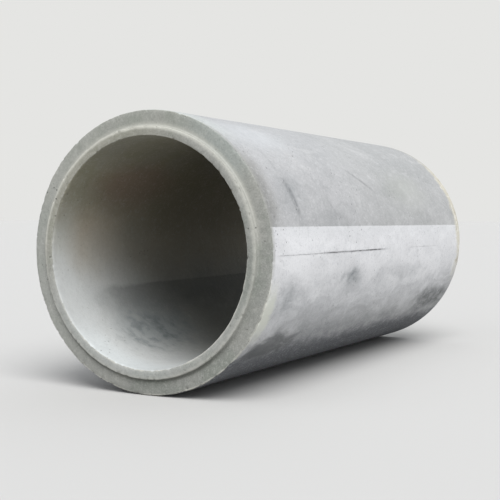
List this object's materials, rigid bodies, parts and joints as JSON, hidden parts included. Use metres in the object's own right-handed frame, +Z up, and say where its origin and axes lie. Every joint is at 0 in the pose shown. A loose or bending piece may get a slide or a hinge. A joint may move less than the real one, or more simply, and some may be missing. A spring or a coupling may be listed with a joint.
{
  "type": "concrete sewer pipe",
  "caption": "Large-bore reinforced concrete pipe with a flush joint: a stepped tongue at one end and a matching groove at the other.",
  "frame": {"origin": "on the ground, under the middle of the pipe as it lies on its side", "axes": "+X along the pipe's axis from the tongue end to the groove end, +Z up, +Y across the pipe"},
  "size_m": [2.52, 1.2298, 1.2299],
  "materials": {
    "concrete": "weathered cast concrete, matt"
  },
  "bodies": {
    "root": {"pipe": "concrete"}
  },
  "joints": []
}
